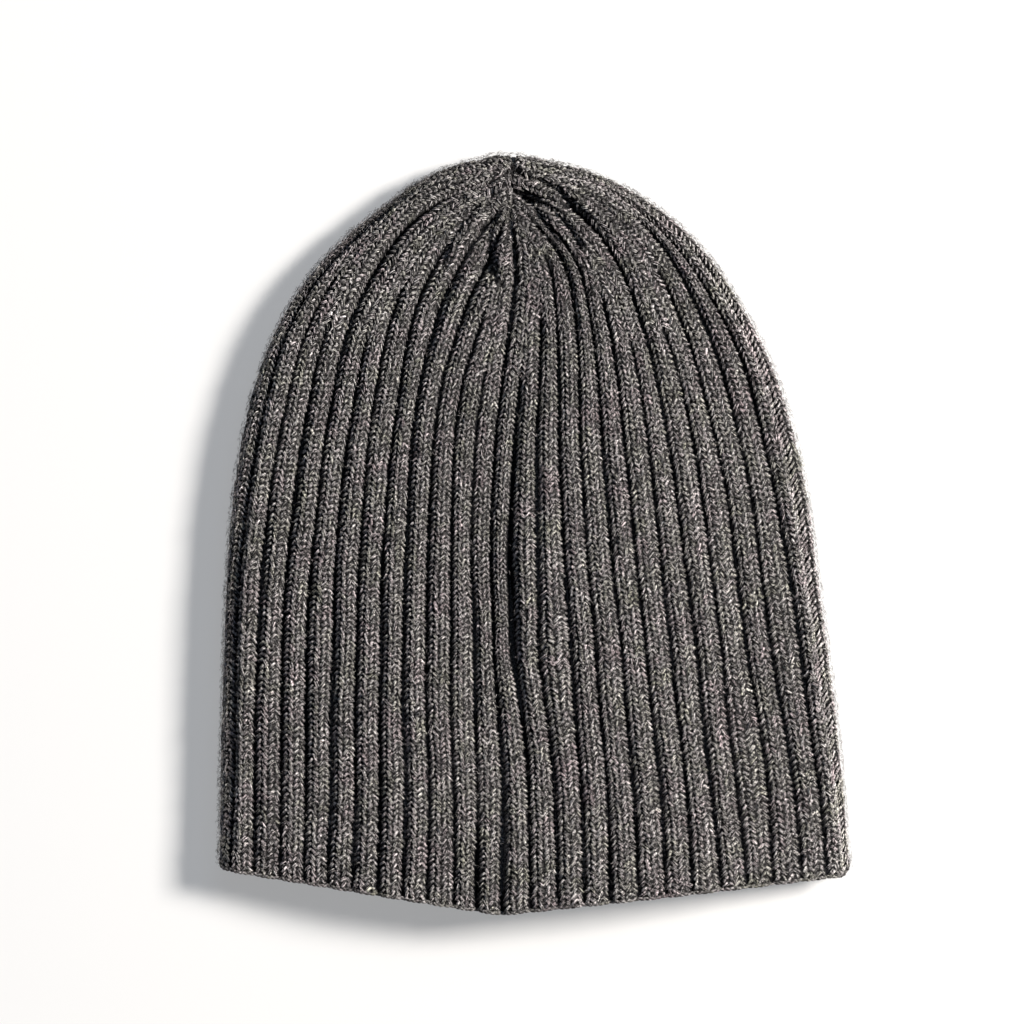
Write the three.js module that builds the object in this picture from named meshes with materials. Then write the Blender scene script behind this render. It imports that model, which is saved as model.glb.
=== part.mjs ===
import * as THREE from 'three';

// A ribbed knit beanie that lies flat on a table with its back seam up, open at the hem.
// Sizes are millimetres. Seen from above, +X is right and +Y runs towards the crown; +Z is up.

// Ribs and wall
const RIBS = 50;
const RIB_PITCH = 8.57;
const RIB_DEPTH = 2.4;
const SHOULDER_DEPTH = 0.35;
const WALL = 4.6;
const INNER_RIB_DEPTH = 1.8;

// At the tip the wall has no ribs and is thinner. Shoulders, thickness and the ribs inside fade towards it.
const TIP_WALL = 3;
const TIP_DIMPLE = 0.6;
const SHOULDER_FADE = 30;
const WALL_FADE = 40;
const INNER_FADE = { end: 10, length: 50 };

// Heights of the lying hat
const LOFT_HEIGHT = 24;
const LOFT_REACH = 70;
const SEAM_VALLEY = { depth: 1.2, width: 9, reach: 30 };

// Hem, measured down from the tip as everything below is
const HEM = { leftCorner: 239.6, rightCorner: 241.9, backMiddle: 254.6, frontMiddle: 247 };
const HEM_CORNER_RADIUS = 3.4;
const HEM_SCALLOP = 0.8;
const HEM_ROUNDING = 0.7;

// The crown's tip lies a little over the top edge, on the seam side. Less slide than the least is none.
const TIP_SLIDE = { length: 8.5, reach: 24, least: 0.01 };

// Close to the tip the ribs spread around it like spokes
const TIP_SPOKES = { strength: 8, reach: 4 };

// The flat outline: how far the side folds lie to the left and right of the tip
const OUTLINE = [
  { drop: 0, left: 0, right: 0 },
  { drop: 2.4, left: 15.8, right: 18.8 },
  { drop: 9.1, left: 31.9, right: 36.6 },
  { drop: 15.8, left: 41.0, right: 48.0 },
  { drop: 29.2, left: 57.1, right: 63.5 },
  { drop: 49.4, left: 73.6, right: 78.3 },
  { drop: 76.3, left: 85.3, right: 91.4 },
  { drop: 109.9, left: 92.4, right: 100.1 },
  { drop: 150.2, left: 95.8, right: 105.8 },
  { drop: 190.5, left: 97.1, right: 110.9 },
  { drop: 230.8, left: 97.8, right: 114.6 },
  { drop: 256, left: 98.0, right: 116.2 },
];

// The side folds are fat and round on the left, thin on the right
const FOLDS = {
  left: { at: -98, radius: 13, over: 9.5, under: 8.5 },
  right: { at: 115, radius: 7.5, over: 6.5, under: 6.5 },
};

// How many ribs lie between the seam and each fold, and how strongly they are pulled in towards the seam
const SIDE_RIBS = [
  { drop: 0, left: 12.2, right: 13.8, pullLeft: 0.02, pullRight: 0.16 },
  { drop: 50, left: 12.2, right: 13.8, pullLeft: 0.02, pullRight: 0.16 },
  { drop: 66, left: 12.2, right: 13.75, pullLeft: 0.05, pullRight: 0.15 },
  { drop: 83, left: 12.3, right: 13.8, pullLeft: 0.08, pullRight: 0.12 },
  { drop: 116, left: 12.2, right: 13.7, pullLeft: 0.09, pullRight: 0.09 },
  { drop: 150, left: 12.1, right: 13.6, pullLeft: 0.04, pullRight: 0.08 },
  { drop: 183, left: 12.1, right: 13.55, pullLeft: 0.03, pullRight: 0.04 },
  { drop: 217, left: 12.1, right: 13.35, pullLeft: 0.03, pullRight: 0.02 },
  { drop: 256, left: 12.1, right: 13.3, pullLeft: 0, pullRight: 0 },
];

// The underside is pressed flat from this share of a fold's turn on
const FLAT_FROM = 2 / 3;

// The seam's path, beside the tip
const SEAM_PATH = [
  { drop: 0, x: 0 },
  { drop: 22, x: 1.2 },
  { drop: 40, x: 2.4 },
  { drop: 50, x: 1.4 },
  { drop: 62, x: 0.2 },
  { drop: 76, x: -1.6 },
  { drop: 96, x: -3.8 },
  { drop: 117, x: -4.2 },
  { drop: 140, x: -3.6 },
  { drop: 160, x: -2.8 },
  { drop: 184, x: -3.0 },
  { drop: 217, x: -1.9 },
  { drop: 256, x: -2.4 },
];

// Where the cloth is pushed aside near one groove, counted from the seam, and how much deeper that groove is.
// The first is the tuck that runs beside the seam, the second the gather left of the seam in the crown.
const PUSHES = [
  {
    groove: 1,
    spread: 1.3,
    rows: [
      { drop: 0, shift: 0, depth: 0 },
      { drop: 70, shift: 0, depth: 0 },
      { drop: 100, shift: -0.4, depth: 0.4 },
      { drop: 116, shift: -1.6, depth: 0.9 },
      { drop: 133, shift: -3.2, depth: 1.3 },
      { drop: 150, shift: -3.5, depth: 1.3 },
      { drop: 167, shift: -3.6, depth: 1.2 },
      { drop: 183, shift: -1.2, depth: 0.8 },
      { drop: 205, shift: 0.3, depth: 0.2 },
      { drop: 256, shift: 0, depth: 0 },
    ],
  },
  {
    groove: -2.5,
    spread: 1.6,
    rows: [
      { drop: 0, shift: 0, depth: 0 },
      { drop: 12, shift: 2.5, depth: 0 },
      { drop: 33, shift: 6.3, depth: 0 },
      { drop: 50, shift: 4.2, depth: 0 },
      { drop: 60, shift: 2.8, depth: 0 },
      { drop: 80, shift: 0, depth: 0 },
      { drop: 256, shift: 0, depth: 0 },
    ],
  },
];

// Crown decreases are made in darts along these grooves, where the last one is the first again
const DARTS = [0, 8, 16, 26, 34, 42, RIBS];

// How far from the tip the grooves end, for those some ribs after a dart and those before the next
const GROOVE_ENDS = [
  { ribs: 0, after: 14, before: 14 },
  { ribs: 1, after: 70, before: 70 },
  { ribs: 2, after: 50, before: 50 },
  { ribs: 3, after: 30, before: 14 },
  { ribs: 4, after: 30, before: 30 },
  { ribs: 5, after: 14, before: 30 },
];
const GROOVE_FADE = 12;

// Beside the side folds the grooves, and the ribs inside, end this much sooner
const SIDE_ENDS = 34;

// The seam's ridge inside, from one ring of the wall to another
const SEAM_RIDGE = { width: 5, height: 2.4, gap: 0.3, firstRing: 1, lastRing: 13, sides: 8 };

// Where the rings lie, as shares of the way from the hem to the tip
const RINGS = [
  0, 0.012, 0.09, 0.18, 0.27, 0.36, 0.45, 0.535, 0.61, 0.68,
  0.74, 0.795, 0.845, 0.885, 0.92, 0.948, 0.969, 0.984, 0.993,
];

// Where the columns of points lie across a rib, from the groove on its left
const GROOVE = 0;
const CREST = 0.5;
const OUTER_STEPS = [GROOVE, 0.22, CREST, 0.78];
const INNER_STEPS = [GROOVE, CREST];

// How finely a rib's path and the outline are followed
const PATH_STEPS = 120;
const OUTLINE_STEPS = 90;

const COLOURS = { knit: 0x56524f, seam: 0x45423f };

// A smooth curve through the rows of a table
function through(rows, along, column) {
  const at = rows.map(along);
  const value = rows.map((row) => row[column]);
  const last = rows.length - 1;
  const slope = value.map((_, i) => {
    const low = Math.max(i - 1, 0);
    const high = Math.min(i + 1, last);
    return (value[high] - value[low]) / (at[high] - at[low]);
  });
  return (place) => {
    const held = Math.min(Math.max(place, at[0]), at[last]);
    let i = 0;
    while (i < last - 1 && held > at[i + 1]) i += 1;
    const span = at[i + 1] - at[i];
    const t = (held - at[i]) / span;
    const ease = t * t * (3 - 2 * t);
    const bend = slope[i] * t * (1 - t) ** 2 - slope[i + 1] * t * t * (1 - t);
    return value[i] + (value[i + 1] - value[i]) * ease + bend * span;
  };
}

// The outline is round at the tip, so it is smooth in the root of the drop
const byDrop = (row) => row.drop;
const byRoot = (row) => Math.sqrt(row.drop);
const leftFold = through(OUTLINE, byRoot, 'left');
const rightFold = through(OUTLINE, byRoot, 'right');
const LOWEST_ROOT = byRoot(OUTLINE[OUTLINE.length - 1]);
const seamAt = through(SEAM_PATH, byDrop, 'x');
const ribsToLeft = through(SIDE_RIBS, byDrop, 'left');
const ribsToRight = through(SIDE_RIBS, byDrop, 'right');
const pullLeft = through(SIDE_RIBS, byDrop, 'pullLeft');
const pullRight = through(SIDE_RIBS, byDrop, 'pullRight');
const pushes = PUSHES.map(({ groove, spread, rows }) => ({
  groove,
  spread,
  shift: through(rows, byDrop, 'shift'),
  depth: through(rows, byDrop, 'depth'),
}));

const mix = (a, b, t) => a + (b - a) * t;
const clamp01 = (t) => Math.min(Math.max(t, 0), 1);
const smoothstep = (t) => clamp01(t) ** 2 * (3 - 2 * clamp01(t));

// A fold's size at some x, between the left fold's and the right fold's
function foldSize(x, name) {
  const { left, right } = FOLDS;
  return mix(left[name], right[name], clamp01((x - left.at) / (right.at - left.at)));
}

const QUARTER_TURN = Math.PI / 2;
const quarterArc = (radius, height) => QUARTER_TURN * Math.sqrt((radius ** 2 + height ** 2) / 2);

// How far in from a fold a place lies, seen from above, for a length of cloth from the fold
function inFromFold(length, fold) {
  const quarter = quarterArc(fold.radius, fold.over);
  if (length >= quarter) return fold.radius + length - quarter;
  return fold.radius * (1 - Math.cos((length / quarter) * QUARTER_TURN));
}

// Where a column lies at some drop, counted in ribs from the seam: on the back or the front, and its
// share of the way from the middle to the left fold, which is negative, or to the right fold
function placeOf(around, drop) {
  const left = ribsToLeft(drop);
  const right = ribsToRight(drop);
  const frontRibs = RIBS - left - right;
  const turned = ((around + left) % RIBS + RIBS) % RIBS - left;
  const onBack = turned <= right;
  const toRight = onBack ? turned >= 0 : turned < right + frontRibs / 2;
  const fold = toRight ? FOLDS.right : FOLDS.left;
  const whole = onBack ? (toRight ? right : left) : frontRibs / 2;
  const fromFold = toRight ? Math.abs(right - turned) : onBack ? turned + left : RIBS - left - turned;
  const outwards = 1 - inFromFold(fromFold * RIB_PITCH, fold) / inFromFold(whole * RIB_PITCH, fold);
  const pull = onBack ? (toRight ? pullRight(drop) : pullLeft(drop)) : 0;
  const share = outwards - pull * outwards * (1 - outwards);
  return { onBack, turned, share: toRight ? share : -share };
}

// A rib's path, seen from above, keeps its share of the width nearly all the way up to the tip
function planX(place, drop) {
  const root = Math.sqrt(drop);
  const fold = place.share < 0 ? -leftFold(root) : rightFold(root);
  const middle = place.onBack ? seamAt(drop) : (rightFold(root) - leftFold(root)) / 2;
  const straight = middle + spokeShare(Math.abs(place.share), root) * (fold - middle);
  return place.onBack ? straight + pushedBy(place.turned, drop) : straight;
}

function spokeShare(share, root) {
  const spoke = TIP_SPOKES.strength * (1 - share) * Math.exp(-(root ** 2) / TIP_SPOKES.reach);
  return root > 0 ? (share * root) / (root + spoke) : 0;
}

function pushedBy(around, drop) {
  const each = pushes.map((push) => {
    const aside = (around - push.groove) / push.spread;
    return push.shift(drop) * Math.exp(-(aside ** 2));
  });
  return each.reduce((sum, shift) => sum + shift, 0);
}

// How much deeper than the others a groove is
function extraDepth(groove, drop) {
  const push = pushes.find((each) => each.groove === groove);
  return push ? push.depth(drop) : 0;
}

function hemDrop(place) {
  const corner = place.share < 0 ? HEM.leftCorner : HEM.rightCorner;
  const middle = place.onBack ? HEM.backMiddle : HEM.frontMiddle;
  const width = place.share < 0 ? leftFold(LOWEST_ROOT) : rightFold(LOWEST_ROOT);
  const inwards = Math.min((1 - Math.abs(place.share)) * width / HEM_CORNER_RADIUS, 1);
  const rounding = HEM_CORNER_RADIUS * (1 - Math.sqrt(1 - (1 - inwards) ** 2));
  const fromGroove = 2 * Math.abs(place.turned - Math.round(place.turned));
  const scallop = HEM_SCALLOP * (1 - fromGroove) ** 2;
  return mix(middle, corner, Math.abs(place.share)) - rounding - scallop;
}

// The plan path of one column from the hem to the tip, with its length at each step
function pathOf(around) {
  const top = Math.sqrt(hemDrop(placeOf(around, LOWEST_ROOT ** 2)));
  const points = [];
  let length = 0;
  for (let i = 0; i <= PATH_STEPS; i += 1) {
    const drop = (top * (1 - i / PATH_STEPS)) ** 2;
    const place = placeOf(around, drop);
    const x = planX(place, drop);
    if (i > 0) length += Math.hypot(x - points[i - 1].x, drop - points[i - 1].drop);
    points.push({ x, drop, length, onBack: place.onBack, sooner: SIDE_ENDS * place.share ** 4 });
  }
  return { points, length };
}

function alongPath(path, share) {
  const wanted = share * path.length;
  const next = Math.max(path.points.findIndex((point) => point.length >= wanted), 1);
  const a = path.points[next - 1];
  const b = path.points[next];
  const t = clamp01((wanted - a.length) / (b.length - a.length));
  const { onBack, sooner } = t < 0.5 ? a : b;
  return { x: mix(a.x, b.x, t), drop: mix(a.drop, b.drop, t), toTip: path.length - wanted, onBack, sooner };
}

// The outline as short steps, each with the direction that points into the hat
function outlineSteps() {
  const points = [];
  for (let i = -OUTLINE_STEPS; i <= OUTLINE_STEPS; i += 1) {
    const root = (Math.abs(i) / OUTLINE_STEPS) * LOWEST_ROOT;
    points.push({ x: i < 0 ? -leftFold(root) : rightFold(root), drop: root ** 2 });
  }
  return points.map((point, i) => {
    const before = points[Math.max(i - 1, 0)];
    const after = points[Math.min(i + 1, points.length - 1)];
    const run = Math.hypot(after.x - before.x, after.drop - before.drop);
    return { ...point, inX: -(after.drop - before.drop) / run, inDrop: (after.x - before.x) / run };
  });
}
const RIM = outlineSteps();

// The nearest place on the outline
function nearestRim(x, drop) {
  let best = { distance: Infinity };
  for (let i = 1; i < RIM.length; i += 1) {
    const a = RIM[i - 1];
    const b = RIM[i];
    const square = (b.x - a.x) ** 2 + (b.drop - a.drop) ** 2;
    const t = clamp01(((x - a.x) * (b.x - a.x) + (drop - a.drop) * (b.drop - a.drop)) / square);
    const foot = { x: mix(a.x, b.x, t), drop: mix(a.drop, b.drop, t) };
    const distance = Math.hypot(x - foot.x, drop - foot.drop);
    if (distance < best.distance) {
      const inX = mix(a.inX, b.inX, t);
      const inDrop = mix(a.inDrop, b.inDrop, t);
      const size = Math.hypot(inX, inDrop);
      best = { distance, foot, inX: inX / size, inDrop: inDrop / size };
    }
  }
  return best;
}

// The lying hat's outer face at the rib crests: from a place in plan to a point and its outward normal.
// Cloth is counted from the fold, plus on the back and minus on the front, so it can slide over the top.
function crestAt(at) {
  const rim = nearestRim(at.x, at.drop);
  const radius = foldSize(at.x, 'radius');
  const over = foldSize(at.x, 'over');
  const under = foldSize(at.x, 'under');
  const quarter = quarterArc(radius, over);
  const turn = Math.acos(1 - clamp01(rim.distance / radius)) / QUARTER_TURN;
  const cloth = rim.distance < radius ? turn * quarter : quarter + rim.distance - radius;
  const slide = TIP_SLIDE.length * Math.exp(-((Math.hypot(at.x, at.drop) / TIP_SLIDE.reach) ** 2));
  const signed = (at.onBack ? cloth : -cloth) + slide;
  const turned = Math.min(Math.abs(signed) / quarter, 1);
  const angle = turned * QUARTER_TURN;
  const beyond = Math.max(Math.abs(signed) - quarter, 0);
  const inwards = radius * (1 - Math.cos(angle)) + beyond;
  const height = signed >= 0 ? over : under;
  const flat = Math.hypot(height * Math.cos(angle), radius * Math.sin(angle));
  const outwards = (height * Math.cos(angle)) / flat;
  const upwards = ((signed >= 0 ? 1 : -1) * radius * Math.sin(angle)) / flat;
  const moved = slide > TIP_SLIDE.least;
  const x = moved ? rim.foot.x + rim.inX * inwards : at.x;
  const drop = moved ? rim.foot.drop + rim.inDrop * inwards : at.drop;
  const loft = signed > 0 ? (LOFT_HEIGHT - under - over) * smoothstep(inwards / LOFT_REACH) : 0;
  const valley = signed > 0 ? seamValley(x, drop, inwards) : 0;
  const z = under + (signed >= 0 ? 1 : -1) * height * Math.sin(angle) + loft - valley;
  return {
    point: new THREE.Vector3(x, -drop, z),
    normal: new THREE.Vector3(-rim.inX * outwards, rim.inDrop * outwards, upwards),
    flatness: signed < 0 ? smoothstep((turned - FLAT_FROM) / (1 - FLAT_FROM)) : 0,
  };
}

// The cloth dips along the seam
function seamValley(x, drop, inwards) {
  const aside = (x - seamAt(drop)) / SEAM_VALLEY.width;
  return SEAM_VALLEY.depth * Math.exp(-(aside ** 2)) * smoothstep(inwards / SEAM_VALLEY.reach);
}

// How strongly a groove shows, by the cloth left between it and the tip
function grooveStrength(groove, at) {
  const turned = ((groove % RIBS) + RIBS) % RIBS;
  const next = DARTS.findIndex((dart) => dart > turned);
  const after = turned - DARTS[next - 1];
  const before = DARTS[next] - turned;
  const end = after < GROOVE_ENDS.length ? GROOVE_ENDS[after].after : GROOVE_ENDS[before].before;
  return smoothstep((at.toTip - at.sooner - end) / GROOVE_FADE);
}

// The hem's edge is a little thinner than the wall above it
const hemRounding = (share) => HEM_ROUNDING * (1 - clamp01(share / RINGS[1]));

function outerDepth(rib, step, at, flatness) {
  if (step === CREST) return 0;
  const shoulder = SHOULDER_DEPTH * (1 - flatness) * clamp01(at.toTip / SHOULDER_FADE);
  if (step !== GROOVE) return shoulder;
  return mix(shoulder, RIB_DEPTH, grooveStrength(rib, at)) + extraDepth(rib, at.drop);
}

function innerDepth(rib, step, at) {
  const past = at.toTip - at.sooner - INNER_FADE.end;
  const hollow = INNER_RIB_DEPTH * smoothstep(past / INNER_FADE.length);
  const wall = mix(TIP_WALL, WALL, smoothstep(at.toTip / WALL_FADE));
  return step === GROOVE ? wall + extraDepth(rib, at.drop) : wall - hollow;
}

// A point of the wall, some depth below the rib crests
function wallPoint(around, share, depthAt) {
  const path = pathOf(around);
  const at = alongPath(path, share);
  const crest = crestAt(at);
  const depth = depthAt(at, crest.flatness);
  return crest.point.addScaledVector(crest.normal, -depth);
}

function ring(steps, share, depthOf, rounding) {
  const points = [];
  for (let rib = 0; rib < RIBS; rib += 1) {
    for (const step of steps) {
      const depthAt = (at, flatness) => depthOf(rib, step, at, flatness) + rounding;
      points.push(wallPoint(rib + step, share, depthAt));
    }
  }
  return points;
}

// Rings of points from the hem to a tip, closed by triangles
function addSheet(vertices, triangles, rings, tip, outwards) {
  const wide = rings[0].length;
  const first = vertices.length;
  rings.forEach((points) => vertices.push(...points));
  const pole = vertices.push(tip) - 1;
  const add = (a, b, c) => triangles.push(outwards ? [a, c, b] : [a, b, c]);
  for (let row = 0; row < rings.length; row += 1) {
    for (let i = 0; i < wide; i += 1) {
      const a = first + row * wide + i;
      const b = first + row * wide + ((i + 1) % wide);
      if (row === rings.length - 1) {
        add(a, pole, b);
      } else {
        add(a, a + wide, b);
        add(b, a + wide, b + wide);
      }
    }
  }
  return first;
}

function asMesh(name, vertices, triangles, colour, roughness) {
  const geometry = new THREE.BufferGeometry();
  const places = vertices.flatMap((point) => [point.x, point.y, point.z]);
  geometry.setAttribute('position', new THREE.Float32BufferAttribute(places, 3));
  geometry.setIndex(triangles.flat());
  geometry.computeVertexNormals();
  const material = new THREE.MeshStandardMaterial({ color: colour, roughness, metalness: 0 });
  const mesh = new THREE.Mesh(geometry, material);
  mesh.name = name;
  return mesh;
}

function knitBody() {
  const vertices = [];
  const triangles = [];
  const outerRings = RINGS.map((share) => ring(OUTER_STEPS, share, outerDepth, hemRounding(share)));
  const innerRings = RINGS.map((share) => ring(INNER_STEPS, share, innerDepth, -hemRounding(share)));
  const outerTip = wallPoint(0, 1, () => TIP_DIMPLE);
  const innerTip = wallPoint(0, 1, () => TIP_WALL);
  const outer = addSheet(vertices, triangles, outerRings, outerTip, true);
  const inner = addSheet(vertices, triangles, innerRings, innerTip, false);
  addHemEdge(triangles, outer, inner);
  return asMesh('knit_body', vertices, triangles, COLOURS.knit, 0.95);
}

// The hem's edge joins four outer columns to two inner ones at each rib
function addHemEdge(triangles, outer, inner) {
  const outerCount = RIBS * OUTER_STEPS.length;
  const innerCount = RIBS * INNER_STEPS.length;
  const o = (rib, step) => outer + ((rib * OUTER_STEPS.length + step) % outerCount);
  const n = (rib, step) => inner + ((rib * INNER_STEPS.length + step) % innerCount);
  for (let rib = 0; rib < RIBS; rib += 1) {
    triangles.push([o(rib, 0), n(rib, 0), o(rib, 1)]);
    triangles.push([n(rib, 0), n(rib, 1), o(rib, 1)]);
    triangles.push([o(rib, 1), n(rib, 1), o(rib, 2)]);
    triangles.push([o(rib, 2), n(rib, 1), o(rib, 3)]);
    triangles.push([n(rib, 1), n(rib, 2), o(rib, 3)]);
    triangles.push([o(rib, 3), n(rib, 2), o(rib, 4)]);
  }
}

// A flattened tube along the middle of the back, just under the wall
function backSeam() {
  const vertices = [];
  const triangles = [];
  const { width, height, gap, sides } = SEAM_RIDGE;
  const middleDepth = WALL + gap + height / 2;
  const shares = RINGS.slice(SEAM_RIDGE.firstRing, SEAM_RIDGE.lastRing + 1);
  for (const share of shares) {
    const depthAt = () => middleDepth;
    const ribWidth = wallPoint(-0.5, share, depthAt).distanceTo(wallPoint(0.5, share, depthAt));
    for (let side = 0; side < sides; side += 1) {
      const angle = (side / sides) * 2 * Math.PI;
      const around = ((width / 2) * Math.cos(angle)) / ribWidth;
      const depth = middleDepth - (height / 2) * Math.sin(angle);
      vertices.push(wallPoint(around, share, () => depth));
    }
  }
  for (let row = 0; row < shares.length - 1; row += 1) {
    for (let side = 0; side < sides; side += 1) {
      const a = row * sides + side;
      const b = row * sides + ((side + 1) % sides);
      triangles.push([a, a + sides, b], [b, a + sides, b + sides]);
    }
  }
  const lastRow = (shares.length - 1) * sides;
  for (let side = 1; side < sides - 1; side += 1) {
    triangles.push([0, side, side + 1]);
    triangles.push([lastRow, lastRow + side + 1, lastRow + side]);
  }
  return asMesh('back_seam', vertices, triangles, COLOURS.seam, 0.9);
}

// The origin is under the middle of the hat, on the table
function centred(group) {
  const box = new THREE.Box3().setFromObject(group);
  group.position.set(-(box.min.x + box.max.x) / 2, -(box.min.y + box.max.y) / 2, -box.min.z);
  return group;
}

const hat = new THREE.Group();
hat.add(knitBody(), backSeam());

export default centred(hat);
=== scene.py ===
"""A ribbed knit beanie in charcoal melange wool, lying flat with its back seam up.

The frame is in metres with +Z up. The hat's own sizes are millimetres, and `to_frame` turns a point of the
hat into the frame. Most sizes are those of the CAD source. The grooves are deeper here, because the strands
of the stitches fill them up again, and the small forms of the crown are added.
"""
import itertools
import math
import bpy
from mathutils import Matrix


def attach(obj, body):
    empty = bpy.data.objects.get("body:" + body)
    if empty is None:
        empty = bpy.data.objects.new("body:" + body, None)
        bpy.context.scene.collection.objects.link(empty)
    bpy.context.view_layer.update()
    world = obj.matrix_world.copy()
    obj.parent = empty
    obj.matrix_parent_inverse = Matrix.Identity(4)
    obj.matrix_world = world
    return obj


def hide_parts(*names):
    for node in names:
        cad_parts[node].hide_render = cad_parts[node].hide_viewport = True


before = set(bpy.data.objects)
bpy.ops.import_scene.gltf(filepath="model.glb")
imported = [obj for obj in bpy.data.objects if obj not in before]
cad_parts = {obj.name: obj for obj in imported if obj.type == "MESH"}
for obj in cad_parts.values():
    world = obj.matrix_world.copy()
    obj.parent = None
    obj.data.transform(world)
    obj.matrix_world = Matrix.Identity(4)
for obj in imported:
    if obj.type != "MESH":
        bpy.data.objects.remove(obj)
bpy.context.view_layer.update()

from types import SimpleNamespace as Sizes

import bpy
import numpy as np
from mathutils import Vector

MM = 0.001
SEED = 11
rng = np.random.default_rng(SEED)
scene = bpy.context.scene

# Ribs and wall
RIBS = 50
RIB_PITCH = 8.57
RIB_DEPTH = 3.3
RIB_ROUNDING = 2.9
WALL = 4.6
INNER_RIB_DEPTH = 1.8
TIP_WALL = 3.0
WALL_FADE = 40
INNER_FADE = Sizes(end=10, length=50)
INNER_FLAT_HEM = 9

# Heights of the lying hat
LOFT_HEIGHT = 24
LOFT_REACH = 70
SEAM_VALLEY = Sizes(depth=1.2, width=9, reach=30)

# Hem, measured down from the tip as everything below is
HEM = Sizes(left_corner=239.6, right_corner=241.9, back_middle=254.6, front_middle=247)
HEM_CORNER_RADIUS = 3.4
HEM_SCALLOP = 0.3
HEM_BAND = Sizes(flat=1.5, reach=7, left=0.35)

# The crown's tip lies a little over the top edge, and the ribs spread around it like spokes
TIP_SLIDE = Sizes(length=8.5, reach=24, least=0.01)
TIP_SPOKES = Sizes(strength=50, power=3, reach=11)

# The flat outline: how far the side folds lie to the left and right of the tip
OUTLINE = {
    "drop": [0, 2.4, 9.1, 15.8, 29.2, 49.4, 76.3, 109.9, 150.2, 190.5, 230.8, 256],
    "left": [0, 15.8, 31.9, 41.0, 57.1, 73.6, 85.3, 92.4, 95.8, 97.1, 97.8, 98.0],
    "right": [0, 18.8, 36.6, 48.0, 63.5, 78.3, 91.4, 100.1, 105.8, 110.9, 114.6, 116.2],
}
LOWEST_DROP = OUTLINE["drop"][-1]
OUTLINE_STEPS = 90
RIM_CHUNK = 8000

# The side folds are fat and round on the left, thin on the right
FOLDS = {
    "left": {"at": -98, "radius": 13, "over": 9.5, "under": 8.5},
    "right": {"at": 115, "radius": 7.5, "over": 6.5, "under": 6.5},
}

# How many ribs lie between the seam and each fold, and how strongly they are pulled in towards the seam
SIDE_RIBS = {
    "drop": [0, 50, 66, 83, 116, 150, 183, 217, 256],
    "left": [12.2, 12.2, 12.2, 12.3, 12.2, 12.1, 12.1, 12.1, 12.1],
    "right": [13.8, 13.8, 13.75, 13.8, 13.7, 13.6, 13.55, 13.35, 13.3],
    "pull_left": [0.02, 0.02, 0.05, 0.08, 0.09, 0.04, 0.03, 0.03, 0],
    "pull_right": [0.16, 0.16, 0.15, 0.12, 0.09, 0.08, 0.04, 0.02, 0],
}

# The seam's path, beside the tip
SEAM_PATH = {
    "drop": [0, 22, 40, 50, 62, 76, 96, 117, 140, 160, 184, 217, 256],
    "x": [0, 1.2, 2.4, 1.4, 0.2, -1.6, -3.8, -4.2, -3.6, -2.8, -3.0, -1.9, -2.4],
}

# Where the cloth is pushed aside near one groove, counted from the seam. The first is the tuck that runs
# beside the seam, where the groove is deeper too. The others are gathers in the crown, left and right.
PUSHES = [
    {
        "groove": 1,
        "spread": 1.3,
        "drop": [0, 70, 100, 116, 133, 150, 167, 183, 205, 256],
        "shift": [0, 0, -0.4, -1.6, -3.2, -3.5, -3.6, -1.2, 0.3, 0],
        "depth": [0, 0.2, 1.0, 1.6, 3.0, 3.2, 3.0, 1.5, 0.7, 0],
    },
    {
        "groove": -2.5,
        "spread": 1.6,
        "drop": [0, 12, 33, 50, 60, 80, 256],
        "shift": [0, 2.5, 6.3, 4.2, 2.8, 0, 0],
    },
    {
        "groove": 8.5,
        "spread": 2.2,
        "drop": [0, 14, 33, 50, 75, 110, 256],
        "shift": [0, -1.2, -2.4, -1.8, -1.0, 0, 0],
    },
]

# How far the tuck's slopes reach, in ribs: steep on its left, easy on its right
TUCK = Sizes(left=0.12, right=0.42)

# Grooves that open deeper towards the hem: groove, depth, from which drop, over how much, and width in ribs
HEM_GROOVES = [
    (0, 1.8, 205, 35, 0.16),
    (-1, 2.2, 215, 30, 0.18),
    (4, 1.2, 215, 30, 0.14),
    (-5, 1.0, 205, 30, 0.14),
]

# Between the darts the crown's cloth swells into ropes, with valleys along the grooves that reach the tip
VALLEYS = Sizes(depth=1.3, width=2.6, from_tip=85, over=35, near_tip=4, fade=8)

# Creases of the gathered tip: depth, width, and the line seen from above, as x beside the tip and drop
CREASES = {
    "notch": (2.4, 0.8, [(1.6, -2), (1.4, 8), (1.2, 13)]),
    "pocket": (5.0, 1.6, [(3.0, 13.4), (5.5, 14.4), (8.0, 15.6)]),
    "upper rope": (3.4, 1.1, [(1.6, 5), (6.5, 7.8), (10.9, 8.8), (16.6, 12.5), (21, 17.2), (27, 23)]),
    "lower rope": (3.4, 1.2, [(6, 14.8), (10.9, 16.5), (16.9, 20.9), (21, 26), (24.5, 32)]),
    "wedge": (2.6, 1.0, [(5, 15), (8.9, 18.4), (13.2, 24.9), (16.1, 29.6)]),
    "tongue's right": (2.6, 0.8, [(1.3, 15), (0.6, 25.6), (1.8, 32.3), (2.6, 39), (2.2, 45)]),
    "tongue's left": (2.7, 1.0, [(-3.6, 20), (-5.6, 26), (-6, 32), (-5.6, 38), (-3.9, 42.5), (-2, 45.5)]),
    "gather": (2.2, 1.7, [(-7.2, 29), (-9.2, 33), (-11, 38)]),
    "left rope": (2.4, 1.2, [(-11, 18), (-15, 23), (-18.5, 29), (-21.5, 37)]),
}
TONGUE = Sizes(rise=1.6, middle=-1.6, half_width=3.4, narrowest=0.6, start=6, end=44, fade=6)

# The forms of the crown fade out where the cloth turns under
ON_TOP = Sizes(above=-0.3, over=0.5)

# Crown decreases are made in darts along these grooves, where the last one is the first again
DARTS = [0, 8, 16, 26, 34, 42, RIBS]

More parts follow.
